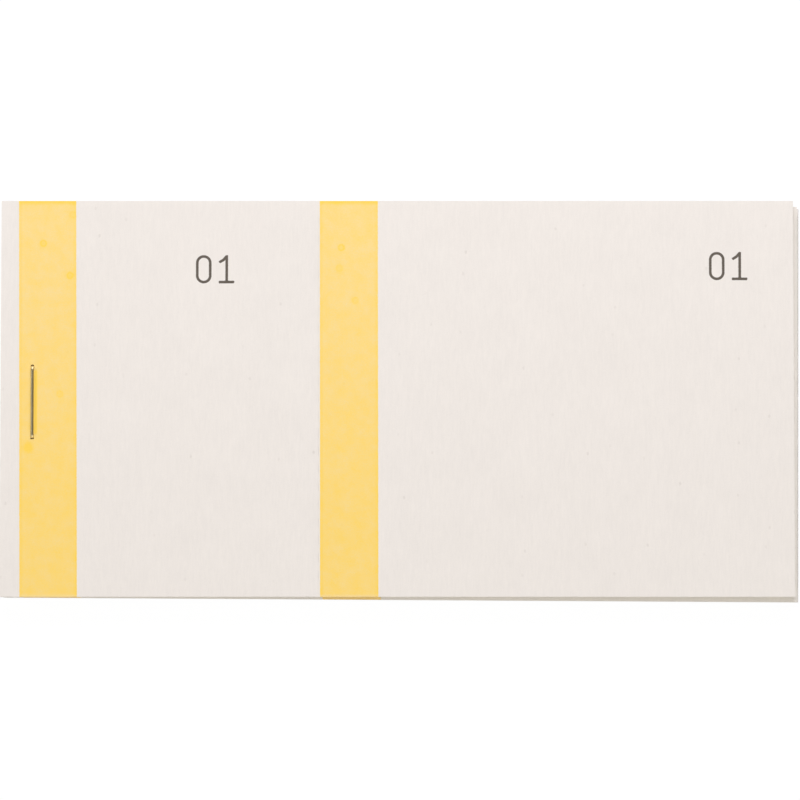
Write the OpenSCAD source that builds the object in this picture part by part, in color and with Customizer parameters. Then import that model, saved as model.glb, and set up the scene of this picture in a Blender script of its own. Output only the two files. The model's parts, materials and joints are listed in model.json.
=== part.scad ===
// Sales ticket pad: numbered paper leaves on a backing board, bound by one wire staple.
// Each leaf has a stub at the bound end and a ticket at the free end, with a perforation between.
// +X runs from the bound end to the free end, +Z is up, and the board's underside is at z = 0.

/* [Leaf] */
// Length of a leaf, from the bound end to the free end
leaf_length = 130; // [100:1:200]
// Width of a leaf
leaf_width = 65; // [40:1:120]
// Thickness of the paper
leaf_thickness = 0.095; // [0.06:0.005:0.2]
// Air between two leaves that lie on each other
air_gap = 0.005; // [0.002:0.001:0.02]
// Number of leaves in the pad
leaf_count = 50; // [10:1:51]
// Number of top leaves that turn and give up their tickets
turning_count = 6; // [2:1:6]

/* [Perforation] */
// Distance from a leaf's bound end to its perforation
stub_length = 52.1; // [30:0.1:80]
// Length of one cut
cut_length = 1.5; // [0.8:0.1:4]
// Paper left between two cuts
tie_length = 1.4; // [0.5:0.1:3]
// Width of a cut
cut_width = 0.03; // [0.02:0.01:0.5]

/* [Staple] */
// Diameter of the wire
wire_diameter = 0.45; // [0.4:0.05:0.7]
// Distance between the legs, centre to centre
crown_span = 11.5; // [9:0.1:20]
// Distance from the top leaf's bound end to the crown's centre line
staple_inset = 5.2; // [3:0.1:10]
// Distance of the crown's middle from the leaf's middle, positive towards +Y
staple_shift = -0.6; // [-5:0.1:5]
// Inside radius of the wire's four bends
bend_inside = 0.2; // [0.1:0.05:0.5]
// Reach of a clinched end, from the leg's centre line to the tip
clinch_reach = 2.6; // [1.5:0.1:4]
// Angle between the wire and the slanted cut at its tip
chisel_angle = 40; // [25:5:70]
// Gap between the wire and the paper or board that it pierces
pierce_gap = 0.05; // [0.02:0.01:0.15]

/* [Board] */
// Thickness of the backing board
board_thickness = 1; // [0.6:0.05:2]
// Distance that the board stands past the lowest leaf at the free end
board_margin = 0.5; // [0:0.1:3]
// Distance of the clinched ends above the board's underside
clinch_recess = 0.03; // [0:0.01:0.1]

/* [Stack] */
// Number of upper leaves that lie square with the top one
square_count = 20; // [6:1:51]
// Distance that the leaves below those, and the board, stand past them at the free end
stack_slip = 0.6; // [0:0.1:3]
// Turn of the same leaves and the board about the staple, in degrees, clockwise from above
stack_skew = 0.35; // [0:0.01:1]
// Largest wander of a single leaf from the line of the stack
leaf_wander = 0.02; // [0:0.01:0.2]

/* [Fold] */
// Distance from the crown's centre line to the line where the turning leaves fold
fold_offset = 3; // [2:0.1:8]

/* [Hidden] */
$fn = 48;
paper_colour = [0.95, 0.92, 0.89];
board_colour = [0.88, 0.86, 0.82];
wire_colour = [0.62, 0.6, 0.57];
// Angle between the wander of one leaf and the next, which never lines up again
wander_step = 137.5;
// Length by which a cutting tool runs past the face that it cuts
overrun = 0.1;

bound_x = -leaf_length / 2;
free_x = leaf_length / 2;
perforation_x = bound_x + stub_length;
staple_x = bound_x + staple_inset;
fold_x = staple_x + fold_offset;

leaf_pitch = leaf_thickness + air_gap;
stack_top = board_thickness + leaf_count * leaf_pitch;

cut_pitch = cut_length + tie_length;
cut_count = floor((leaf_width - tie_length) / cut_pitch);

wire_radius = wire_diameter / 2;
leg_y = crown_span / 2;
bend_radius = bend_inside + wire_radius;
bend_y = leg_y - bend_radius;
crown_z = stack_top + wire_radius;
crown_bend_z = crown_z - bend_radius;
clinch_z = clinch_recess + wire_radius;
clinch_bend_z = clinch_z + bend_radius;
pierce_half = wire_radius + pierce_gap;

function two_digits(n) = n < 10 ? str("0", n) : str(n);

// Height of the underside of leaf n, where leaf 1 is the top one
function leaf_z(n) = stack_top - (n - 1) * leaf_pitch - leaf_thickness;

// Whether leaf n lies askew with the board, as 1 or 0
function askew(n) = n > square_count ? 1 : 0;

// Slip of leaf n along and across the stack
function slip_x(n) = stack_slip * askew(n) + leaf_wander * sin(wander_step * (n - 1));
function slip_y(n) = leaf_wander * sin(2 * wander_step * (n - 1));

// Whether the wire bends inwards anywhere between two heights
function meets_bend(low, high) = high > crown_bend_z || low < clinch_bend_z;

// A turn about the staple, which holds every layer there, after a slip in the layer's own plane
module held_by_staple(skew, slip) {
    translate([staple_x, staple_shift, 0])
        rotate([0, 0, -skew])
            translate([slip[0] - staple_x, slip[1] - staple_shift, 0])
                children();
}

// The row of cuts across a leaf, as flat outlines in the leaf's own frame
module perforation_cuts() {
    first_y = -(cut_count - 1) * cut_pitch / 2;
    for (k = [0 : cut_count - 1])
        translate([perforation_x, first_y + k * cut_pitch])
            square([cut_width, cut_length], center = true);
}

// The two holes that the wire makes in a layer, longer where the wire bends inwards
module pierced_holes(low, high) {
    inner_y = (meets_bend(low, high) ? bend_y : leg_y - wire_radius) - pierce_gap;
    outer_y = leg_y + pierce_half;
    for (side = [0, 1])
        translate([staple_x, staple_shift, low - overrun])
            mirror([0, side, 0])
                translate([-pierce_half, inner_y, 0])
                    cube([2 * pierce_half, outer_y - inner_y, high - low + 2 * overrun]);
}

// The stretch of leaf n between two places along its own length, cut and pierced
module paper(n, from_x, to_x) {
    low = leaf_z(n);
    color(paper_colour)
        difference() {
            held_by_staple(stack_skew * askew(n), [slip_x(n), slip_y(n)])
                translate([0, 0, low])
                    linear_extrude(leaf_thickness)
                        difference() {
                            translate([from_x, -leaf_width / 2])
                                square([to_x - from_x, leaf_width]);
                            perforation_cuts();
                        }
            pierced_holes(low, low + leaf_thickness);
        }
}

// A whole leaf, held all along by the ones above it
module leaf(n) {
    paper(n, bound_x, free_x);
}

// The margins of the turning leaves, from the bound end to the fold
module bound_margins() {
    for (n = [1 : turning_count])
        paper(n, bound_x, fold_x - slip_x(n));
}

// The part of a turning leaf that stays in the pad, from the fold to the perforation
module stub(n) {
    paper(n, fold_x - slip_x(n), perforation_x);
}

// The part of a turning leaf that tears off, with its half of each paper tie
module ticket(n) {
    paper(n, perforation_x, free_x);
}

// One half of the staple: half the crown, a leg and a clinched end, with the two bends between
module staple_half() {
    leg_length = crown_bend_z - clinch_bend_z;
    tip_y = leg_y - clinch_reach;
    slant_length = wire_diameter / sin(chisel_angle);
    translate([0, 0, crown_z])
        rotate([-90, 0, 0])
            cylinder(r = wire_radius, h = bend_y);
    translate([0, bend_y, crown_bend_z])
        wire_bend(0);
    translate([0, leg_y, clinch_bend_z])
        cylinder(r = wire_radius, h = leg_length);
    translate([0, bend_y, clinch_bend_z])
        wire_bend(-90);
    difference() {
        translate([0, tip_y, clinch_z])
            rotate([-90, 0, 0])
                cylinder(r = wire_radius, h = bend_y - tip_y);
        translate([0, tip_y, clinch_z - wire_radius])
            rotate([chisel_angle, 0, 0])
                translate([-wire_diameter, -wire_diameter, 0])
                    cube([2 * wire_diameter, slant_length + 2 * wire_diameter, 2 * wire_diameter]);
    }
}

// A quarter turn of wire in the plane of the legs, from an angle above the outward direction
module wire_bend(from_angle) {
    rotate([90, 0, 90])
        rotate([0, 0, from_angle])
            rotate_extrude(angle = 90)
                translate([bend_radius, 0])
                    circle(r = wire_radius);
}

// The wire staple: a straight crown on the top leaf, two legs, and two ends clinched inwards
module staple() {
    color(wire_colour)
        translate([staple_x, staple_shift, 0])
            for (side = [0, 1])
                mirror([0, side, 0])
                    staple_half();
}

// The stiff board under the leaves, with grooves that take the clinched ends flush
module backing_board() {
    groove_inner = leg_y - clinch_reach - pierce_gap;
    groove_outer = leg_y + pierce_half;
    groove_roof = clinch_z + pierce_half;
    color(board_colour)
        difference() {
            held_by_staple(stack_skew, [stack_slip, 0])
                translate([bound_x, -leaf_width / 2, 0])
                    cube([leaf_length + board_margin, leaf_width, board_thickness]);
            pierced_holes(0, board_thickness);
            for (side = [0, 1])
                translate([staple_x, staple_shift, -overrun])
                    mirror([0, side, 0])
                        translate([-pierce_half, groove_inner, 0])
                            cube([2 * pierce_half, groove_outer - groove_inner, groove_roof + overrun]);
        }
}

backing_board();
staple();
bound_margins();
for (n = [1 : turning_count]) {
    stub(n);
    ticket(n);
}
for (n = [turning_count + 1 : leaf_count]) {
    leaf(n);
}
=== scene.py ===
# Sales ticket pad: numbered paper leaves with two printed bands, one wire staple and a pale backing board.
# A leaf's own frame is in millimetres from its middle: x towards the free end, y across, as on the top leaf.
import json
import math

import bpy
import numpy as np
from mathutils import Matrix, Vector


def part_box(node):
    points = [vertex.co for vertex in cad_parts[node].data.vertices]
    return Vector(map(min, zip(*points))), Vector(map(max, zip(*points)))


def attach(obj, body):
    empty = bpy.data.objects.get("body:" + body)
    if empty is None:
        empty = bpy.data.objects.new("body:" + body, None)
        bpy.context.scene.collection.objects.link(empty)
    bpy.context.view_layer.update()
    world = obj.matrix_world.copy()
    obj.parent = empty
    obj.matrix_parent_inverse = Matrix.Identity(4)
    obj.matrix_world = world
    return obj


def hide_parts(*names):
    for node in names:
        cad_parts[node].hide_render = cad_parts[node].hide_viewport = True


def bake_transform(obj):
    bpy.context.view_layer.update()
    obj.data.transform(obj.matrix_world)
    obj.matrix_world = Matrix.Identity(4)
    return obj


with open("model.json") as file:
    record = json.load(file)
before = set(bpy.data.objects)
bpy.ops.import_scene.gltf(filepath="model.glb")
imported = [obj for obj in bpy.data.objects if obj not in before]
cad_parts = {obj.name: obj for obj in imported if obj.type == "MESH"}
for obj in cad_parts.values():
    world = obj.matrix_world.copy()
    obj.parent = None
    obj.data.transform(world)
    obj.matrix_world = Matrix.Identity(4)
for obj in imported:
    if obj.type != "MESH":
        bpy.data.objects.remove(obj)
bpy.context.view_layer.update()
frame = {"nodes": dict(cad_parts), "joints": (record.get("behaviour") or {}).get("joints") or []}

MM = 0.001


def box_mm(node):
    """Lowest and highest corner of a CAD node, in millimetres."""
    low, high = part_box(node)
    return np.array(low) / MM, np.array(high) / MM


# Leaves
TURNING = ["01", "02", "03", "04", "05", "06"]
FIXED_PRINTED = "07"
LOWER = [f"leaf_{n:02d}" for n in range(8, 51)]
FIRST_ASKEW = "leaf_21"
LEAF_LENGTH = 130.0
CURL_LENGTH = 6.0
top_ticket_low, top_ticket_high = box_mm("ticket_01")
free_x = top_ticket_high[0]
bound_x = free_x - LEAF_LENGTH
perforation_x = top_ticket_low[0]
side_y = top_ticket_high[1]
fold_x = frame["joints"][0]["pos_m"][0] / MM

# Perforation
CUT_LENGTH = 1.5
TIE_LENGTH = 1.4
CUT_WIDTH = 0.03
TEAR_GAP = 0.001
cut_pitch = CUT_LENGTH + TIE_LENGTH
cut_count = math.floor((2 * side_y - TIE_LENGTH) / cut_pitch)
first_cut_y = -(cut_count - 1) * cut_pitch / 2

# Staple
BEND_INSIDE = 0.2
CLINCH_REACH = 2.6
CHISEL_ANGLE = math.radians(40)
HOLE_SIDE_GAP = 0.04
HOLE_END_GAP = 0.14
WIRE_SQUARENESS = 3.2
staple_low, staple_high = box_mm("staple")
staple_x = (staple_low[0] + staple_high[0]) / 2
staple_y = (staple_low[1] + staple_high[1]) / 2
wire_radius = (staple_high[0] - staple_low[0]) / 2
hole_half = wire_radius + HOLE_SIDE_GAP
leg_y = (staple_high[1] - staple_low[1]) / 2 - wire_radius
bend_radius = BEND_INSIDE + wire_radius
bend_y = leg_y - bend_radius

# Print, as it lies on the leaf
BAND_STARTS = (3.05, 52.32)
BAND_WIDTHS = (9.4, 9.53)
BAND_SLANTS = (0.0062, 0.0018)
NUMERAL_HEIGHT = 4.66
NUMERAL_WIDTH = 2.56
NUMERAL_STROKE = 0.44
NUMERAL_ADVANCE = 3.74
STUB_NUMBER_AT = (-29.9, 21.23)
TICKET_NUMBER_AT = (54.3, 21.76)
NUMBER_REACH = (3.6, 2.7)
FAR_FROM_NUMBER = 1.0


def srgb(red, green, blue):
    """A colour as a screen shows it, from 0 to 255, turned into linear light with an alpha of 1."""
    shares = np.array([red, green, blue]) / 255
    linear = np.where(shares <= 0.04045, shares / 12.92, ((shares + 0.055) / 1.055) ** 2.4)
    return (*linear.tolist(), 1.0)


# Colours
PAPER_FACE = srgb(238.3, 231, 221)
PAPER_BACK = srgb(237, 231, 223)
PAPER_EDGE = srgb(239, 235, 227)
BAND_INK = srgb(255, 214, 90)
NUMBER_INK = srgb(91, 82, 71)
FLECK = srgb(150, 134, 114)
BOARD = srgb(230, 225, 216)
BOARD_DARK = srgb(192, 184, 171)
BOARD_PALE = srgb(240, 236, 228)
WIRE = srgb(189, 174, 136)
WIRE_DULL = srgb(156, 139, 100)
# The bends' colour is a painted highlight: lighter and yellower than the wire, for the paper and lamps they
# reflect
WIRE_BEND_PAINTED_HIGHLIGHT = srgb(238, 219, 166)
FLOOR = srgb(246, 246, 246)


# Node trees
def feed(tree, node, inputs):
    """Gives each named input of a node a plain value, or a link from another node's output."""
    for key, value in inputs.items():
        if isinstance(value, bpy.types.NodeSocket):
            tree.links.new(value, node.inputs[key])
        else:
            node.inputs[key].default_value = value


def add(tree, kind, inputs=None, **settings):
    """One shader node with its settings and inputs."""
    node = tree.nodes.new("ShaderNode" + kind)
    for name, value in settings.items():
        setattr(node, name, value)
    feed(tree, node, inputs or {})
    return node


def maths(tree, operation, *values):
    """The result of one Math node."""
    return add(tree, "Math", dict(enumerate(values)), operation=operation).outputs[0]


def total(tree, first, *others):
    """The sum of several values."""
    for other in others:
        first = maths(tree, "ADD", first, other)
    return first


def sway(tree, value, share, around):
    """A value swung around another: that other, plus a share of how far the value lies from a half."""
    return maths(tree, "MULTIPLY_ADD", maths(tree, "SUBTRACT", value, 0.5), share, around)


def off_line(tree, value, line):
    """How far a value lies from a line, on either side."""
    return maths(tree, "ABSOLUTE", maths(tree, "SUBTRACT", value, line))


def ramp(tree, value, over, to):
    """A value carried smoothly from the first result to the second as the input runs over a span."""
    inputs = {"Value": value, "From Min": over[0], "From Max": over[1], "To Min": to[0], "To Max": to[1]}
    return add(tree, "MapRange", inputs, interpolation_type="SMOOTHSTEP").outputs["Result"]


def vector_maths(tree, operation, first, second):
    """The vector result of one Vector Math node."""
    return add(tree, "VectorMath", {0: first, 1: second}, operation=operation).outputs["Vector"]


def distance_to(tree, place, x, y):
    """Distance from a place at z = 0 to a point there."""
    return add(tree, "VectorMath", {0: place, 1: (x, y, 0.0)}, operation="DISTANCE").outputs["Value"]


def noise(tree, vector, scale, detail, roughness):
    """Noise around 0.5 on a vector."""
    inputs = {"Vector": vector, "Scale": scale, "Detail": detail, "Roughness": roughness}
    return add(tree, "TexNoise", inputs).outputs["Fac"]


def mix(tree, factor, first, second, blend="MIX"):
    """Two colours mixed by a factor."""
    inputs = {0: factor, 6: first, 7: second}
    return add(tree, "Mix", inputs, data_type="RGBA", blend_type=blend).outputs[2]


def darkened(tree, colour, level):
    """A colour times a level."""
    grey = add(tree, "CombineColor", {"Red": level, "Green": level, "Blue": level}).outputs["Color"]
    return mix(tree, 1.0, colour, grey, "MULTIPLY")


def bump(tree, height, strength, relief):
    """A normal from a height between 0 and 1 that stands for a relief in millimetres."""
    inputs = {"Strength": strength, "Distance": relief * MM, "Height": height}
    return add(tree, "Bump", inputs).outputs["Normal"]


def attribute(tree, name, output):
    """What a named attribute of the mesh holds."""
    return add(tree, "Attribute", attribute_name=name).outputs[output]


def new_group(name, inputs, outputs):
    """A shader node group with named sockets; gives the tree, its input node and its output node."""
    tree = bpy.data.node_groups.new(name, "ShaderNodeTree")
    for socket, kind in inputs.items():
        tree.interface.new_socket(socket, in_out="INPUT", socket_type=f"NodeSocket{kind}")
    for socket, kind in outputs.items():
        tree.interface.new_socket(socket, in_out="OUTPUT", socket_type=f"NodeSocket{kind}")
    return tree, tree.nodes.new("NodeGroupInput"), tree.nodes.new("NodeGroupOutput")


def use_group(tree, group, place):
    """What a group puts out at a place."""
    return add(tree, "Group", {"Place": place}, node_tree=group).outputs


def new_material(name):
    """A material with an empty tree; gives the material and the tree."""
    material = bpy.data.materials.new(name)
    material.use_nodes = True
    material.node_tree.nodes.clear()
    return material, material.node_tree


def surface(tree, inputs):
    """The Principled BSDF of a material, with its inputs."""
    shader = add(tree, "BsdfPrincipled", inputs)
    add(tree, "OutputMaterial", {"Surface": shader.outputs["BSDF"]})


# Paper stock, which the paper materials share: sizes in millimetres, the rest as shares
LEAF_STEP = 23.7
CLOUD_TONE = 0.05
FIBRE_TONE = 0.09
TOOTH_TONE = 0.075
FIBRE_STRETCH = (1.0, 0.16, 1.0)
FIBRE_HEIGHT = 0.6
TOOTH_HEIGHT = 0.5
FLECK_CELL = 5.0
FLECK_STRETCH = (1.0, 0.7, 1.0)
FLECK_DRIFT = 0.61
FLECK_RAGGED = 1.2
FLECK_CORE = 0.09
FLECK_REACH = 0.28
FLECK_RARITY = 4.0
FLECK_STRENGTH = 0.16


def flecks(tree, place, tooth):
    """Ragged flecks, one in each flat Voronoi cell: the distance from the cell's point, roughened by the
    paper's tooth, gives the outline, and a power of the cell's own lot makes few of them strong."""
    leaf = add(tree, "SeparateXYZ", {"Vector": place}).outputs["Z"]
    across = maths(tree, "MULTIPLY", leaf, FLECK_DRIFT)
    drift = add(tree, "CombineXYZ", {"X": leaf, "Y": across}).outputs["Vector"]
    drifted = vector_maths(tree, "MULTIPLY", vector_maths(tree, "ADD", place, drift), FLECK_STRETCH)
    inputs = {"Vector": drifted, "Scale": 1 / FLECK_CELL}
    cells = add(tree, "TexVoronoi", inputs, voronoi_dimensions="2D").outputs
    lot = add(tree, "SeparateColor", {"Color": cells["Color"]}).outputs["Red"]
    away = maths(tree, "MULTIPLY", cells["Distance"], sway(tree, tooth, FLECK_RAGGED, 1.0))
    strength = maths(tree, "POWER", lot, FLECK_RARITY)
    return ramp(tree, away, over=(FLECK_CORE / FLECK_CELL, FLECK_REACH / FLECK_CELL), to=(strength, 0.0))


def make_paper_stock():
    """Paper's own look at a place in millimetres: a tone near 1 from clouds, fibres along y and a fine
    tooth, the flecks, and the height of fibres and tooth. The place's z is the leaf's number, which moves
    every pattern on, so that no two leaves are alike."""
    tree, given, gives = new_group(
        "paper stock", {"Place": "Vector"}, {"Tone": "Float", "Fleck": "Float", "Height": "Float"}
    )
    place = vector_maths(tree, "MULTIPLY", given.outputs["Place"], (1.0, 1.0, LEAF_STEP))
    fibre_place = vector_maths(tree, "MULTIPLY", place, FIBRE_STRETCH)
    clouds = noise(tree, place, scale=0.16, detail=3.0, roughness=0.6)
    fibres = noise(tree, fibre_place, scale=2.6, detail=3.0, roughness=0.65)
    tooth = noise(tree, place, scale=5.5, detail=3.0, roughness=0.7)
    tone = sway(tree, clouds, CLOUD_TONE, 1.0)
    tone = sway(tree, fibres, FIBRE_TONE, tone)
    tone = sway(tree, tooth, TOOTH_TONE, tone)
    height = maths(tree, "MULTIPLY_ADD", fibres, FIBRE_HEIGHT, maths(tree, "MULTIPLY", tooth, TOOTH_HEIGHT))
    feed(tree, gives, {"Tone": tone, "Fleck": flecks(tree, place, tooth), "Height": height})
    return tree


# Band ink, which the paper materials share: sizes in millimetres, ink as a density from 0 to 1
INK_LEAF_STEP = 11.3
INK_AT_SIDES = (0.86, 0.78)
MOTTLE_INK = 0.3
GRAIN_INK = 0.3
EDGE_RAGGED = 0.14
EDGE_SOFT = 0.07
RIM_INK = 0.09
RIM_DEPTHS = (0.1, 0.75)
UPPER_RIM_INK = 0.22
UPPER_RIM_INSETS = (0.9, 0.1)
LOWER_WEAR_INK = -0.16
LOWER_WEAR_INSET = 0.6
STRONG_SPOTS = [(-58.1, 25.5), (-53.7, 20.2), (-9.2, 24.8)]
WEAK_SPOTS = [(-53.3, 30.2), (-55.3, 0.7), (-9.5, 21.4), (-6.9, 16.1)]
STRONG_SPOT_INK = 0.12
WEAK_SPOT_INK = 0.06
SPOT_RADIUS = 0.45
SPOT_LINE = 0.22
SPOT_REACH = 0.85
SMUDGE_AT = (-60.5, -8.1)
SMUDGE_RADIUS = 1.4
SMUDGE_INK = 0.24
# Beside the wire: heavier ink that is also a painted shadow of the staple's crown on its free side
BESIDE_WIRE = 0.5
BESIDE_WIRE_SPREAD = (0.12, 0.42)
BESIDE_WIRE_PAST_BENDS = (-0.5, 0.2)
BESIDE_WIRE_INK_AND_SHADE = 0.34


def band_depth(tree, x, y):
    """Distance inside the nearer band: half its width less the distance from its slanting middle line."""
    depths = []
    for start, width, slant in zip(BAND_STARTS, BAND_WIDTHS, BAND_SLANTS):
        upright = maths(tree, "MULTIPLY_ADD", y, slant, x)
        from_middle = off_line(tree, upright, bound_x + start + width / 2)
        depths.append(maths(tree, "SUBTRACT", width / 2, from_middle))
    return maths(tree, "MAXIMUM", *depths)


def spot_ink(tree, flat):
    """Ink where dust lay on the printing plate: a ring and a soft patch at each spot, and one smudge."""
    from_smudge = distance_to(tree, flat, *SMUDGE_AT)
    added = ramp(tree, from_smudge, over=(0.0, SMUDGE_RADIUS), to=(SMUDGE_INK, 0.0))
    for spots, strength in ((STRONG_SPOTS, STRONG_SPOT_INK), (WEAK_SPOTS, WEAK_SPOT_INK)):
        for spot in spots:
            away = distance_to(tree, flat, *spot)
            ring = ramp(tree, off_line(tree, away, SPOT_RADIUS), over=(0.0, SPOT_LINE), to=(strength, 0.0))
            patch = ramp(tree, away, over=(SPOT_RADIUS, SPOT_REACH), to=(strength, 0.0))
            added = total(tree, added, ring, patch)
    return added


def ink_and_painted_shade_beside_wire(tree, x, y):
    """A line of deeper yellow along the free side of the staple's crown, which fades out at its bends:
    partly heavier ink, partly a painted shadow of the wire.
    """
    aside = off_line(tree, x, staple_x + BESIDE_WIRE)
    along = off_line(tree, y, staple_y)
    line = ramp(tree, aside, over=BESIDE_WIRE_SPREAD, to=(BESIDE_WIRE_INK_AND_SHADE, 0.0))
    ends = [bend_y + past for past in BESIDE_WIRE_PAST_BENDS]
    return ramp(tree, along, over=ends, to=(line, 0.0))


def make_band_ink():
    """Ink density of the two slanting bands: the roughened depth inside a band gives its edge and a heavier
    rim; the ink is heavy along the upper side and beside the wire, where it is partly a painted shadow of
    the wire, and worn along the lower side; noise gives mottle and grain; spots lie on it. Inside is 1 in a
    band and 0 outside."""
    tree, given, gives = new_group("band ink", {"Place": "Vector"}, {"Density": "Float", "Inside": "Float"})
    place = given.outputs["Place"]
    parts = add(tree, "SeparateXYZ", {"Vector": place}).outputs
    x, y = parts["X"], parts["Y"]
    flat = add(tree, "CombineXYZ", {"X": x, "Y": y}).outputs["Vector"]
    layered = vector_maths(tree, "MULTIPLY", place, (1.0, 1.0, INK_LEAF_STEP))
    ragged = noise(tree, layered, scale=2.4, detail=3.0, roughness=0.6)
    mottle = noise(tree, layered, scale=0.55, detail=4.0, roughness=0.6)
    grain = noise(tree, layered, scale=4.5, detail=2.0, roughness=0.7)
    depth = sway(tree, ragged, EDGE_RAGGED, band_depth(tree, x, y))
    inside = ramp(tree, depth, over=(-EDGE_SOFT, EDGE_SOFT), to=(0.0, 1.0))
    upper_rim = [side_y - inset for inset in UPPER_RIM_INSETS]
    density = ramp(tree, y, over=(-side_y, side_y), to=INK_AT_SIDES)
    density = sway(tree, mottle, MOTTLE_INK, density)
    density = sway(tree, grain, GRAIN_INK, density)
    density = total(
        tree, density,
        ramp(tree, depth, over=RIM_DEPTHS, to=(RIM_INK, 0.0)),
        ramp(tree, y, over=upper_rim, to=(0.0, UPPER_RIM_INK)),
        ramp(tree, y, over=(-side_y, LOWER_WEAR_INSET - side_y), to=(LOWER_WEAR_INK, 0.0)),
        spot_ink(tree, flat),
        # heavier ink beside the wire, partly a painted shadow of its crown
        ink_and_painted_shade_beside_wire(tree, x, y),
    )
    capped = add(tree, "Clamp", {"Value": maths(tree, "MULTIPLY", density, inside)}).outputs["Result"]
    feed(tree, gives, {"Density": capped, "Inside": inside})
    return tree


paper_stock = make_paper_stock()
band_ink = make_band_ink()

# Paper materials
PAPER_ROUGHNESS = 0.92
INK_ROUGHNESS = 0.72
EDGE_ROUGHNESS = 0.95
PAPER_SPECULAR = 0.25
EDGE_SPECULAR = 0.2
PAPER_BUMP = 0.35
PAPER_RELIEF = 0.02
NUMBER_RAGGED = 0.1
NUMBER_SOFT = 0.045
NUMBER_PATCHY = 0.2
NUMBER_STRENGTH = 0.96
BACK_OFFSET = (0.0, 0.0, 0.37)
SHOWN_THROUGH = 0.16
EDGE_LOT = 0.1
EDGE_LEVEL = 0.97
EDGE_STAIN = 0.5


def paper_colour(tree, colour, stock):
    """A paper colour with the stock's tone and flecks."""
    toned = darkened(tree, colour, stock["Tone"])
    return mix(tree, maths(tree, "MULTIPLY", stock["Fleck"], FLECK_STRENGTH), toned, FLECK)


def make_printed_face():
    """Uncoated paper printed with the two bands and the leaf's number."""
    material, tree = new_material("printed paper")
    place = attribute(tree, "leaf_place", "Vector")
    stock = use_group(tree, paper_stock, place)
    ink = use_group(tree, band_ink, place)
    banded = mix(tree, ink["Density"], paper_colour(tree, PAPER_FACE, stock), BAND_INK)
    speckle = noise(tree, place, scale=6.0, detail=2.0, roughness=0.7)
    edge = sway(tree, speckle, NUMBER_RAGGED, attribute(tree, "number_edge", "Fac"))
    number = ramp(tree, edge, over=(-NUMBER_SOFT, NUMBER_SOFT), to=(1.0, 0.0))
    strength = sway(tree, speckle, NUMBER_PATCHY, NUMBER_STRENGTH)
    inked = maths(tree, "MINIMUM", maths(tree, "MULTIPLY", number, strength), 1.0)
    surface(tree, {
        "Base Color": mix(tree, inked, banded, NUMBER_INK),
        "Roughness": ramp(tree, ink["Density"], over=(0.0, 1.0), to=(PAPER_ROUGHNESS, INK_ROUGHNESS)),
        "Specular IOR Level": PAPER_SPECULAR,
        "Normal": bump(tree, stock["Height"], PAPER_BUMP, PAPER_RELIEF),
    })
    return material


def make_paper_back():
    """The unprinted side, where the bands show faintly through the thin paper."""
    material, tree = new_material("paper back")
    place = attribute(tree, "leaf_place", "Vector")
    stock = use_group(tree, paper_stock, vector_maths(tree, "ADD", place, BACK_OFFSET))
    shown = maths(tree, "MULTIPLY", use_group(tree, band_ink, place)["Inside"], SHOWN_THROUGH)
    surface(tree, {
        "Base Color": mix(tree, shown, paper_colour(tree, PAPER_BACK, stock), BAND_INK),
        "Roughness": PAPER_ROUGHNESS,
        "Specular IOR Level": PAPER_SPECULAR,
        "Normal": bump(tree, stock["Height"], PAPER_BUMP, PAPER_RELIEF),
    })
    return material


def make_paper_edge():
    """The cut edge of a leaf: each leaf a little lighter or darker, and stained where a band runs off it."""
    material, tree = new_material("paper edge")
    place = attribute(tree, "leaf_place", "Vector")
    leaf = add(tree, "SeparateXYZ", {"Vector": place}).outputs["Z"]
    lot = add(tree, "TexWhiteNoise", {"W": leaf}, noise_dimensions="1D").outputs["Value"]
    tone = use_group(tree, paper_stock, place)["Tone"]
    level = maths(tree, "MULTIPLY", tone, sway(tree, lot, EDGE_LOT, EDGE_LEVEL))
    stain = maths(tree, "MULTIPLY", use_group(tree, band_ink, place)["Density"], EDGE_STAIN)
    surface(tree, {
        "Base Color": darkened(tree, mix(tree, stain, PAPER_EDGE, BAND_INK), level),
        "Roughness": EDGE_ROUGHNESS,
        "Specular IOR Level": EDGE_SPECULAR,
    })
    return material


# Board material
BOARD_FIBRE_STRETCH = (0.35, 1.6, 5.0)
BOARD_FLECK_SCALE = 0.42
BOARD_FIBRE_HEIGHT = 0.7
BOARD_GRAIN_HEIGHT = 0.5
BOARD_DARK_FLECK = 0.55
BOARD_PALE_FLECK = 0.5
BOARD_BUMP = 0.5
BOARD_RELIEF = 0.05
BOARD_ROUGHNESS = 0.9
BOARD_SPECULAR = 0.25


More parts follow.
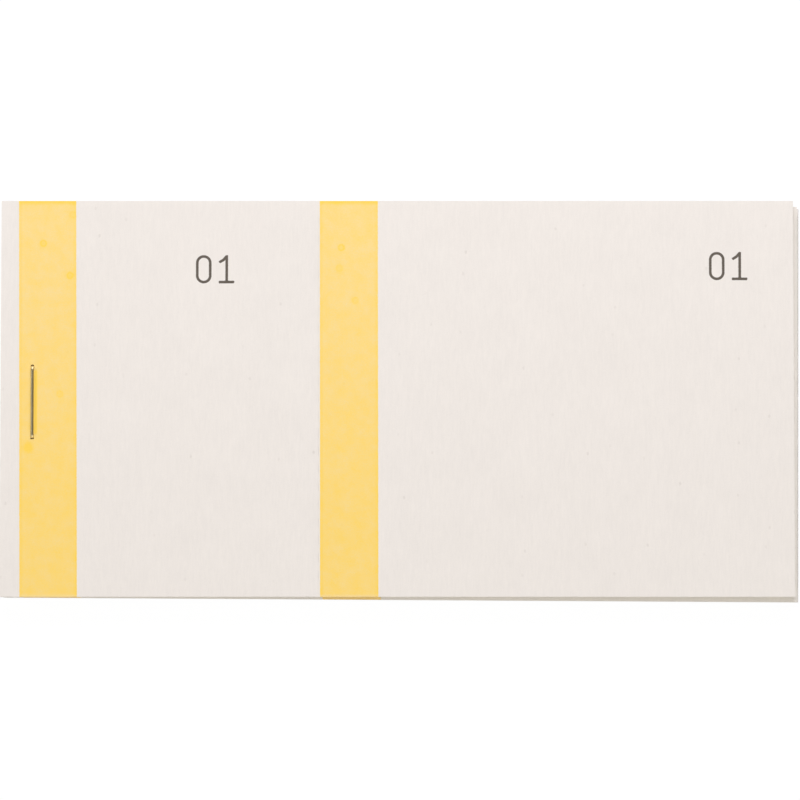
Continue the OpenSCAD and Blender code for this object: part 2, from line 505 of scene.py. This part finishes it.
def make_board_material():
    """Off-white board pressed from waste paper: pale and dark fibres, clouds, and a layered cut edge."""
    material, tree = new_material("off-white board")
    metres = add(tree, "TexCoord").outputs["Object"]
    place = vector_maths(tree, "MULTIPLY", metres, (1 / MM, 1 / MM, 1 / MM))
    fibre_place = vector_maths(tree, "MULTIPLY", place, BOARD_FIBRE_STRETCH)
    clouds = noise(tree, place, scale=0.12, detail=4.0, roughness=0.6)
    fibres = noise(tree, fibre_place, scale=1.5, detail=4.0, roughness=0.7)
    grain = noise(tree, place, scale=3.2, detail=3.0, roughness=0.7)
    cells = add(tree, "TexVoronoi", {"Vector": fibre_place, "Scale": BOARD_FLECK_SCALE}).outputs
    lots = add(tree, "SeparateColor", {"Color": cells["Color"]}).outputs
    dark_size = ramp(tree, lots["Red"], over=(0.7, 1.0), to=(0.0, 0.12))
    pale_size = ramp(tree, lots["Green"], over=(0.75, 1.0), to=(0.0, 0.16))
    dark = maths(tree, "LESS_THAN", cells["Distance"], dark_size)
    pale = maths(tree, "LESS_THAN", cells["Distance"], pale_size)
    colour = mix(tree, ramp(tree, fibres, over=(0.35, 0.75), to=(0.0, 0.45)), BOARD, BOARD_PALE)
    colour = mix(tree, ramp(tree, clouds, over=(0.35, 0.75), to=(0.0, 0.22)), colour, BOARD_DARK)
    colour = mix(tree, ramp(tree, grain, over=(0.5, 0.8), to=(0.0, 0.35)), colour, BOARD_DARK)
    colour = mix(tree, maths(tree, "MULTIPLY", dark, BOARD_DARK_FLECK), colour, BOARD_DARK)
    colour = mix(tree, maths(tree, "MULTIPLY", pale, BOARD_PALE_FLECK), colour, BOARD_PALE)
    grain_height = maths(tree, "MULTIPLY", grain, BOARD_GRAIN_HEIGHT)
    height = maths(tree, "MULTIPLY_ADD", fibres, BOARD_FIBRE_HEIGHT, grain_height)
    surface(tree, {
        "Base Color": colour,
        "Roughness": BOARD_ROUGHNESS,
        "Specular IOR Level": BOARD_SPECULAR,
        "Normal": bump(tree, height, BOARD_BUMP, BOARD_RELIEF),
    })
    return material


# Wire material
DRAWN_LINE_STRETCH = (0.6, 30.0, 1.0)
DRAWN_LINE_ROUGHNESS = 0.2
WIRE_BENT_ROUGHNESS = 0.2
WIRE_BUMP = 0.25
WIRE_RELIEF = 0.006


def make_wire_material():
    """Zinc-coated wire with fine lines drawn along it and duller patches, rough at its bends, where a
    lighter yellow colour is a painted highlight of the paper and lamps that the bends reflect.
    """
    material, tree = new_material("zinc wire")
    place = attribute(tree, "wire_place", "Vector")
    bent = attribute(tree, "wire_bent", "Fac")
    line_place = vector_maths(tree, "MULTIPLY", place, DRAWN_LINE_STRETCH)
    lines = noise(tree, line_place, scale=1.0, detail=3.0, roughness=0.6)
    patches = noise(tree, place, scale=1.4, detail=3.0, roughness=0.6)
    dulled = mix(tree, ramp(tree, patches, over=(0.4, 0.75), to=(0.0, 0.45)), WIRE, WIRE_DULL)
    rough = ramp(tree, patches, over=(0.3, 0.7), to=(0.2, 0.32))
    rough = maths(tree, "MULTIPLY_ADD", lines, DRAWN_LINE_ROUGHNESS, rough)
    surface(tree, {
        # painted highlight at the bends
        "Base Color": mix(tree, bent, dulled, WIRE_BEND_PAINTED_HIGHLIGHT),
        "Roughness": maths(tree, "MULTIPLY_ADD", bent, WIRE_BENT_ROUGHNESS, rough),
        "Metallic": 1.0,
        "Normal": bump(tree, lines, WIRE_BUMP, WIRE_RELIEF),
    })
    return material


leaf_materials = [make_printed_face(), make_paper_back(), make_paper_edge()]
board_material = make_board_material()
wire_material = make_wire_material()


# Numerals
def bar_distance(x, y, x0, y0, x1, y1):
    """Distance from points to a straight stroke with square ends: along it past its ends, or across it."""
    length = math.hypot(x1 - x0, y1 - y0)
    along_x, along_y = (x1 - x0) / length, (y1 - y0) / length
    from_x, from_y = x - (x0 + x1) / 2, y - (y0 + y1) / 2
    past_end = np.abs(from_x * along_x + from_y * along_y) - length / 2 + NUMERAL_STROKE / 2
    return np.maximum(past_end, np.abs(from_y * along_x - from_x * along_y))


def arc_distance(x, y, centre_x, centre_y, radius, start, sweep):
    """Distance from points to an arc, angles in degrees: to the ring within the sweep, else to an end."""
    from_x, from_y = x - centre_x, y - centre_y
    turned = np.mod(np.degrees(np.arctan2(from_y, from_x)) - start, 360)
    to_ring = np.abs(np.hypot(from_x, from_y) - radius)
    ends = np.radians([start, start + sweep])
    to_ends = [np.hypot(from_x - radius * math.cos(a), from_y - radius * math.sin(a)) for a in ends]
    return np.where(turned <= sweep, to_ring, np.minimum(*to_ends))


OVERHANG = 0.2
HOOK = 35
HOOK_OVERLAP = (0.1, 0.12)
half_w = (NUMERAL_WIDTH - NUMERAL_STROKE) / 2
half_h = (NUMERAL_HEIGHT - NUMERAL_STROKE) / 2
outer_h = NUMERAL_HEIGHT / 2
bowl_y = half_h - half_w
hook_x = half_w * math.cos(math.radians(HOOK)) + HOOK_OVERLAP[0]
hook_y = bowl_y - half_w * math.sin(math.radians(HOOK)) + HOOK_OVERLAP[1]
NUMERALS = {
    "0": [
        (arc_distance, 0, bowl_y, half_w, 0, 180),
        (arc_distance, 0, -bowl_y, half_w, 180, 180),
        (bar_distance, -half_w, -bowl_y, -half_w, bowl_y),
        (bar_distance, half_w, -bowl_y, half_w, bowl_y),
    ],
    "1": [
        (bar_distance, 0.03, -outer_h, 0.03, outer_h),
        (bar_distance, -1.2, 1.12, -0.4, 1.62),
        (bar_distance, -0.56, 1.48, 0.05, 2.18),
        (bar_distance, -1.28, -half_h, 1.28, -half_h),
    ],
    "2": [
        (arc_distance, 0, bowl_y, half_w, -HOOK, 195),
        (bar_distance, hook_x, hook_y, -half_w - 0.05, -half_h),
        (bar_distance, -half_w - OVERHANG, -half_h, half_w + OVERHANG, -half_h),
    ],
    "3": [
        (arc_distance, -0.05, 1.15, 0.975, -90, 245),
        (arc_distance, -0.05, -0.975, 1.15, -160, 250),
        (bar_distance, -0.5, 0.175, 0.1, 0.175),
    ],
    "4": [
        (bar_distance, 0.2, outer_h, -half_w - 0.05, -0.95),
        (bar_distance, -half_w - OVERHANG, -0.95, half_w + OVERHANG, -0.95),
        (bar_distance, 0.5, 0.5, 0.5, -outer_h),
    ],
    "5": [
        (bar_distance, -0.9, half_h, half_w + 0.1, half_h),
        (bar_distance, -0.8, outer_h, -0.86, 0.2),
        (arc_distance, 0, -0.95, 1.16, -155, 285),
    ],
    "6": [
        (arc_distance, 0, -bowl_y, half_w, 0, 360),
        (bar_distance, -0.95, -0.62, 0.42, outer_h),
    ],
    "7": [
        (bar_distance, -half_w - OVERHANG, half_h, half_w + OVERHANG, half_h),
        (bar_distance, half_w, half_h, -0.45, -outer_h),
    ],
}


def number_edge(x, y, digits, middle):
    """Signed distance in millimetres from points to the edge of a printed number, negative in the ink."""
    nearest = np.full(x.shape, FAR_FROM_NUMBER)
    for place, digit in enumerate(digits):
        from_x = x - middle[0] - NUMERAL_ADVANCE * (place - (len(digits) - 1) / 2)
        for distance, *form in NUMERALS[digit]:
            nearest = np.minimum(nearest, distance(from_x, y - middle[1], *form) - NUMERAL_STROKE / 2)
    return nearest


# Pieces
SHARP_ANGLE = math.radians(40)


def new_piece(name, points_mm, faces, materials, kinds=None):
    """A mesh piece from points in millimetres and the corners of its faces, smooth but for sharp edges."""
    mesh = bpy.data.meshes.new(name)
    mesh.from_pydata((points_mm * MM).tolist(), [], faces)
    for material in materials:
        mesh.materials.append(material)
    if kinds is not None:
        mesh.polygons.foreach_set("material_index", kinds.astype(np.int32))
    mesh.polygons.foreach_set("use_smooth", np.ones(len(mesh.polygons), bool))
    mesh.set_sharp_from_angle(angle=SHARP_ANGLE)
    mesh.update()
    piece = bpy.data.objects.new(name, mesh)
    bpy.context.scene.collection.objects.link(piece)
    return piece


def set_vectors(piece, name, values):
    """A vector attribute on the piece's points."""
    layer = piece.data.attributes.new(name, "FLOAT_VECTOR", "POINT")
    layer.data.foreach_set("vector", values.astype(np.float32).ravel())


def set_values(piece, name, values):
    """A number attribute on the piece's points."""
    layer = piece.data.attributes.new(name, "FLOAT", "POINT")
    layer.data.foreach_set("value", values.astype(np.float32).ravel())


# Sheets of paper, with the widest step of their grid in each stretch
MARGIN_STEP = 2.5
CURL_STEP = 0.25
STUB_STEP = 4.0
TICKET_STEP = 5.0
NUMBER_STEP = 0.2


def grid_lines(stops, steps):
    """Lines through every stop, with each stretch between two stops split evenly, no wider than its step."""
    stretches = [
        np.linspace(a, b, max(1, math.ceil((b - a) / step)), endpoint=False)
        for a, b, step in zip(stops, stops[1:], steps)
    ]
    return np.append(np.concatenate(stretches), stops[-1])


def from_nearest_cut(y):
    """Distance from each y to the middle of the nearest cut of the perforation."""
    nearest = np.clip(np.round((y - first_cut_y) / cut_pitch), 0, cut_count - 1)
    return np.abs(y - first_cut_y - nearest * cut_pitch)


def hole_span(high_z):
    """Nearest and farthest distance of a staple hole from the staple's middle, in a leaf with its top at a
    height. The hole is longer inwards where the wire bends."""
    at_bend = high_z > staple_high[2] - wire_radius - bend_radius
    inner = (bend_y if at_bend else leg_y - wire_radius) - HOLE_SIDE_GAP
    return inner, leg_y + wire_radius + HOLE_END_GAP


def leaf_rows(slip, high_z):
    """The y lines of a leaf: ends of the cuts, edges of the holes, and close lines where the numbers are."""
    cuts = first_cut_y + cut_pitch * np.arange(cut_count)
    holes = np.array(hole_span(high_z))
    rows = [[-side_y, side_y], cuts - CUT_LENGTH / 2, cuts + CUT_LENGTH / 2]
    rows += [staple_y - slip[1] + holes, staple_y - slip[1] - holes]
    rows += [
        np.arange(middle[1] - NUMBER_REACH[1], middle[1] + NUMBER_REACH[1], NUMBER_STEP)
        for middle in (STUB_NUMBER_AT, TICKET_NUMBER_AT)
    ]
    return np.unique(np.round(np.concatenate(rows), 3))


def stub_columns(slip):
    """The x lines of the bound margin and stub: holes, close lines where the paper curls, and the number."""
    hole = np.array([-1, 1]) * hole_half + staple_x - slip[0]
    fold = fold_x - slip[0]
    number = STUB_NUMBER_AT[0] + np.array([-1, 1]) * NUMBER_REACH[0]
    stops = [bound_x, *hole, fold, fold + CURL_LENGTH, *number, perforation_x - CUT_WIDTH / 2, perforation_x]
    steps = [MARGIN_STEP] * 3 + [CURL_STEP, STUB_STEP, NUMBER_STEP, STUB_STEP, STUB_STEP]
    return grid_lines(stops, steps)


def ticket_columns():
    """The x lines of the ticket: a hairline past the stub's end, the cuts' edge and the number."""
    number = TICKET_NUMBER_AT[0] + np.array([-1, 1]) * NUMBER_REACH[0]
    stops = [perforation_x + TEAR_GAP, perforation_x + CUT_WIDTH / 2, *number, free_x]
    return grid_lines(stops, [TICKET_STEP, TICKET_STEP, NUMBER_STEP, TICKET_STEP])


def sheet_faces(keep):
    """Faces of a thin closed sheet on a grid of cells. Kept cells give a top and a bottom face, and each
    grid edge between a kept cell and none gives a wall. Gives corner indices, and 0, 1 or 2 for top, bottom
    or wall."""
    count_x, count_y = keep.shape[0] + 1, keep.shape[1] + 1
    top = np.arange(count_x * count_y).reshape(count_x, count_y)
    low = top + count_x * count_y
    shifts = ((0, 0), (1, 0), (1, 1), (0, 1))
    corners = [a[i:count_x - 1 + i, j:count_y - 1 + j] for a in (top, low) for i, j in shifts]
    tops = np.stack([c[keep] for c in corners[:4]], axis=-1)
    bottoms = np.stack([c[keep] for c in corners[:3:-1]], axis=-1)
    kept = np.pad(keep, 1)
    walls = []
    for here, there, a, b in (
        (kept[1:-1, 1:], kept[1:-1, :-1], (slice(0, -1), slice(None)), (slice(1, None), slice(None))),
        (kept[:-1, 1:-1], kept[1:, 1:-1], (slice(None), slice(0, -1)), (slice(None), slice(1, None))),
    ):
        wall = np.stack([low[a], low[b], top[b], top[a]], axis=-1)
        walls += [wall[here & ~there], wall[there & ~here][:, ::-1]]
    walls = np.concatenate(walls)
    kinds = np.repeat([0, 1, 2], [len(tops), len(bottoms), len(walls)])
    return np.concatenate([tops, bottoms, walls]), kinds


def leaf_sheet(name, columns, number, slip, low_z, high_z):
    """A stretch of a printed leaf: the grid of its columns and rows, without the cells of cuts and holes,
    carried from the leaf's own frame by its slip."""
    rows = leaf_rows(slip, high_z)
    x, y = np.meshgrid(columns, rows, indexing="ij")
    cell_x = (columns[1:] + columns[:-1])[:, None] / 2
    cell_y = (rows[1:] + rows[:-1])[None, :] / 2
    in_cut = (np.abs(cell_x - perforation_x) < CUT_WIDTH / 2) & (from_nearest_cut(cell_y) < CUT_LENGTH / 2)
    inner, outer = hole_span(high_z)
    from_middle = np.abs(cell_y + slip[1] - staple_y)
    under_wire = np.abs(cell_x + slip[0] - staple_x) < hole_half
    in_hole = under_wire & (from_middle > inner) & (from_middle < outer)
    faces, kinds = sheet_faces(~(in_cut | in_hole))
    used, faces = np.unique(faces, return_inverse=True)
    layers = [np.stack([x + slip[0], y + slip[1], np.full(x.shape, z)], axis=-1) for z in (high_z, low_z)]
    points = np.concatenate(layers).reshape(-1, 3)[used]
    piece = new_piece(name, points, faces.reshape(-1, 4).tolist(), leaf_materials, kinds)
    place = np.stack([x, y, np.full(x.shape, float(number))], axis=-1).reshape(-1, 3)
    set_vectors(piece, "leaf_place", np.tile(place, (2, 1))[used])
    edges = [number_edge(x, y, number, middle) for middle in (STUB_NUMBER_AT, TICKET_NUMBER_AT)]
    set_values(piece, "number_edge", np.tile(np.minimum(*edges).ravel(), 2)[used])
    return piece


# Leaves that turn and tear, and the printed leaf below them
def leaf_lie(node):
    """How a leaf lies, from its CAD node: its slip along and across from the top leaf, and two heights."""
    low, high = box_mm(node)
    slip = (high[0] - free_x, (low[1] + high[1]) / 2)
    return slip, low[2], high[2]


def make_turning_leaf(number):
    """A stub that curls up from the bound margin, and a ticket that tears off it."""
    slip, low_z, high_z = leaf_lie(f"ticket_{number}")
    stub = leaf_sheet(f"stub_sheet_{number}", stub_columns(slip), number, slip, low_z, high_z)
    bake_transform(stub)
    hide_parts(f"stub_{number}", "bound_margins")
    ticket = leaf_sheet(f"ticket_sheet_{number}", ticket_columns(), number, slip, low_z, high_z)
    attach(ticket, f"ticket_{number}")
    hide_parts(f"ticket_{number}")


def make_fixed_leaf(number):
    """A whole printed leaf, which shows when those above it turn."""
    slip, low_z, high_z = leaf_lie(f"leaf_{number}")
    columns = np.concatenate([stub_columns(slip)[:-1], ticket_columns()])
    leaf = leaf_sheet(f"leaf_sheet_{number}", columns, number, slip, low_z, high_z)
    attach(leaf, "pad")
    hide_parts(f"leaf_{number}")


for number in TURNING:
    make_turning_leaf(number)
make_fixed_leaf(FIXED_PRINTED)

# Leaves below, which only show at their edges
LEVEL = 0.01


def leaf_mesh(node):
    """Points in millimetres and triangles of a CAD leaf, with the points that its triangles share merged."""
    mesh = frame["nodes"][node].data
    points = np.empty(len(mesh.vertices) * 3, np.float32)
    mesh.vertices.foreach_get("co", points)
    corners = np.empty(len(mesh.loops), np.int32)
    mesh.loops.foreach_get("vertex_index", corners)
    points, merged = np.unique(np.round(points.reshape(-1, 3) / MM, 4), axis=0, return_inverse=True)
    return points, merged.ravel()[corners].reshape(-1, 3)


def face_kinds(points, triangles):
    """0, 1 or 2 for a triangle in the top, in the bottom or in an edge of a flat leaf."""
    heights = points[triangles, 2]
    middle = (points[:, 2].min() + points[:, 2].max()) / 2
    level = np.ptp(heights, axis=1) < LEVEL
    return np.where(level, np.where(heights[:, 0] > middle, 0, 1), 2)


def block_skew():
    """Angle by which the lower leaves lie askew, from the length along x of a turned leaf's box."""
    low, high = box_mm(FIRST_ASKEW)
    diagonal = math.hypot(LEAF_LENGTH, 2 * side_y)
    return math.atan2(2 * side_y, LEAF_LENGTH) - math.acos((high[0] - low[0]) / diagonal)


def turned_back(points, skew):
    """Points turned anticlockwise about the staple, along and across only."""
    from_x, from_y = points[:, 0] - staple_x, points[:, 1] - staple_y
    cosine, sine = math.cos(skew), math.sin(skew)
    turned_x = staple_x + from_x * cosine - from_y * sine
    turned_y = staple_y + from_x * sine + from_y * cosine
    return np.column_stack([turned_x, turned_y])


def make_lower_leaves():
    """The CAD leaves below the printed ones as one piece, each point with its place in its leaf's frame."""
    skew = block_skew()
    all_points, all_faces, all_kinds, all_places = [], [], [], []
    for node in LOWER:
        points, triangles = leaf_mesh(node)
        own = turned_back(points, skew if node >= FIRST_ASKEW else 0.0)
        own -= (own.min(axis=0) + own.max(axis=0)) / 2
        all_places.append(np.column_stack([own, np.full(len(own), float(node[-2:]))]))
        all_kinds.append(face_kinds(points, triangles))
        all_faces.append(triangles + sum(map(len, all_points)))
        all_points.append(points)
    points, faces = np.concatenate(all_points), np.concatenate(all_faces).tolist()
    leaves = new_piece("lower_leaves", points, faces, leaf_materials, np.concatenate(all_kinds))
    set_vectors(leaves, "leaf_place", np.concatenate(all_places))
    set_values(leaves, "number_edge", np.full(len(points), FAR_FROM_NUMBER))
    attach(leaves, "pad")
    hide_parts(*LOWER)


make_lower_leaves()

# Staple
WIRE_SIDES = 24
BEND_STEPS = 10
CROWN_STEPS = 12
CHISEL_ROOM = 2.2


def staple_path():
    """Centre line of the wire from tip to tip, as distances across and heights: half a crown, a quarter turn
    down, the leg, a quarter turn in and the clinched end, and the same mirrored."""
    crown_z = staple_high[2] - wire_radius
    clinch_z = staple_low[2] + wire_radius
    turn = np.linspace(0, math.pi / 2, BEND_STEPS + 1)
    tip_y = leg_y - CLINCH_REACH
    chisel_y = tip_y + CHISEL_ROOM * wire_radius / math.tan(CHISEL_ANGLE)
    crown_y = np.linspace(0, bend_y, CROWN_STEPS, endpoint=False)
    crown = np.column_stack([crown_y, np.full(len(crown_y), crown_z)])
    sine, cosine = np.sin(turn), np.cos(turn)
    upper = np.column_stack([bend_y + bend_radius * sine, crown_z - bend_radius * (1 - cosine)])
    lower = np.column_stack([bend_y + bend_radius * cosine, clinch_z + bend_radius * (1 - sine)])
    clinch = np.array([[chisel_y, clinch_z], [tip_y, clinch_z]])
    half = np.concatenate([crown, upper, lower, clinch])
    return np.concatenate([half[:0:-1] * (-1, 1), half])


def make_staple():
    """A nearly square superellipse carried along the path, with each end sheared to a chisel point."""
    path = staple_path()
    along = np.gradient(path, axis=0)
    along /= np.linalg.norm(along, axis=1)[:, None]
    around = np.linspace(0, 2 * math.pi, WIRE_SIDES, endpoint=False)
    bulge = 2 / WIRE_SQUARENESS
    wide = wire_radius * np.sign(np.cos(around)) * np.abs(np.cos(around)) ** bulge
    tall = wire_radius * np.sign(np.sin(around)) * np.abs(np.sin(around)) ** bulge
    y = path[:, :1] - along[:, 1:] * tall
    z = path[:, 1:] + along[:, :1] * tall
    for end, side in ((0, -1), (-1, 1)):
        y[end] += side * (z[end] - staple_low[2]) / math.tan(CHISEL_ANGLE)
    x = np.broadcast_to(wide, y.shape)
    points = np.stack([x + staple_x, y + staple_y, z], axis=-1).reshape(-1, 3)
    ring = np.arange(len(path) * WIRE_SIDES).reshape(len(path), WIRE_SIDES)
    beside = np.roll(ring, -1, axis=1)
    sides = np.stack([ring[:-1], beside[:-1], beside[1:], ring[1:]], axis=-1).reshape(-1, 4)
    tips = [ring[0, ::-1].tolist(), ring[-1].tolist()]
    piece = new_piece("staple_wire", points, sides.tolist() + tips, [wire_material])
    steps = np.linalg.norm(np.diff(path, axis=0), axis=1)
    length = np.concatenate([[0], np.cumsum(steps)])
    place = np.stack(np.broadcast_arrays(length[:, None], around * wire_radius, 0.0), axis=-1)
    set_vectors(piece, "wire_place", place.reshape(-1, 3))
    # wire_bent marks where the painted highlight lies and where the wire is rougher
    bent = np.clip((np.abs(path[:, 0]) - bend_y) / wire_radius, 0, 1)
    set_values(piece, "wire_bent", np.repeat(bent, WIRE_SIDES))
    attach(piece, "pad")
    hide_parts("staple")


make_staple()

# Backing board
BOARD_WELD = 0.001
BOARD_SOFTENING = 0.07
BOARD_CUT_ANGLE = math.radians(60)


def finish_board():
    """The CAD board in its own material, with its cut edges softened."""
    board = frame["nodes"]["backing_board"]
    board.data.materials.clear()
    board.data.materials.append(board_material)
    weld = board.modifiers.new("weld", "WELD")
    weld.merge_threshold = BOARD_WELD * MM
    softened = board.modifiers.new("softened cut edges", "BEVEL")
    softened.width = BOARD_SOFTENING * MM
    softened.segments = 2
    softened.limit_method = "ANGLE"
    softened.angle_limit = BOARD_CUT_ANGLE


finish_board()

# Floor, light and camera, in metres
FLOOR_SIZE = 40.0
FLOOR_DROP = 0.02 * MM
FLOOR_SHADOW = 0.08
FLOOR_GLOW = 1.03
SURROUND = 0.23
LAMPS = {
    "key": {"place": (0.05, 0.5, 0.45), "size": 0.5, "power": 3.6, "colour": (0.98, 0.98, 1.08)},
    "fill": {"place": (0.25, -1.6, 1.35), "size": 1.2, "power": 21.0, "colour": (1.0, 1.0, 0.98)},
    "side": {"place": (-1.2, 0.2, 1.0), "size": 0.3, "power": 4.0, "colour": (1.0, 1.0, 1.0)},
}
CAMERA_ELEVATION = math.radians(86)
CAMERA_DISTANCE = 0.8
CAMERA_NEAR = 0.01
CAMERA_TARGET = Vector((0.44, -0.28, 6.0)) * MM
PIXELS_PER_MM = 6.104
IMAGE_PIXELS = 800
SENSOR_MM = 36.0


def make_floor():
    """A wide pale floor that renders white and still takes the object's shadow."""
    material, tree = new_material("pale floor")
    path = add(tree, "LightPath").outputs
    seen = maths(tree, "MAXIMUM", path["Is Camera Ray"], path["Is Glossy Ray"])
    seen = maths(tree, "MAXIMUM", seen, path["Is Transmission Ray"])
    lit = add(tree, "BsdfDiffuse", {"Color": FLOOR}).outputs["BSDF"]
    white = add(tree, "Emission", {"Strength": FLOOR_GLOW}).outputs["Emission"]
    share = maths(tree, "MULTIPLY", seen, 1 - FLOOR_SHADOW)
    mixed = add(tree, "MixShader", {0: share, 1: lit, 2: white}).outputs["Shader"]
    add(tree, "OutputMaterial", {"Surface": mixed})
    half = FLOOR_SIZE / 2
    outline = ((-half, -half), (half, -half), (half, half), (-half, half))
    mesh = bpy.data.meshes.new("floor")
    mesh.from_pydata([(x, y, -FLOOR_DROP) for x, y in outline], [], [(0, 1, 2, 3)])
    mesh.materials.append(material)
    floor = bpy.data.objects.new("floor", mesh)
    bpy.context.scene.collection.objects.link(floor)


def make_world():
    """Weak even light from all round."""
    world = bpy.data.worlds.new("studio")
    bpy.context.scene.world = world
    world.use_nodes = True
    tree = world.node_tree
    tree.nodes.clear()
    light = add(tree, "Background", {"Strength": SURROUND}).outputs["Background"]
    add(tree, "OutputWorld", {"Surface": light})


def add_lamp(name, place, size, power, colour):
    """A square area lamp aimed at the middle of the pad."""
    data = bpy.data.lights.new(name, "AREA")
    data.size = size
    data.energy = power
    data.color = colour
    lamp = bpy.data.objects.new(name, data)
    lamp.location = place
    lamp.rotation_euler = (-Vector(place)).to_track_quat("-Z", "Y").to_euler()
    bpy.context.scene.collection.objects.link(lamp)


def make_camera():
    """A camera almost straight above, with the lens that gives the photograph's scale at the top leaf."""
    data = bpy.data.cameras.new("camera")
    data.sensor_width = SENSOR_MM
    data.lens = PIXELS_PER_MM * SENSOR_MM / IMAGE_PIXELS * CAMERA_DISTANCE / MM
    data.clip_start = CAMERA_NEAR
    camera = bpy.data.objects.new("camera", data)
    back = Vector((0, -math.cos(CAMERA_ELEVATION), math.sin(CAMERA_ELEVATION)))
    camera.location = CAMERA_TARGET + back * CAMERA_DISTANCE
    camera.rotation_euler = (-back).to_track_quat("-Z", "Y").to_euler()
    bpy.context.scene.collection.objects.link(camera)
    bpy.context.scene.camera = camera


make_floor()
make_world()
for name, lamp in LAMPS.items():
    add_lamp(name, **lamp)
make_camera()
bpy.context.scene.view_settings.view_transform = "Standard"
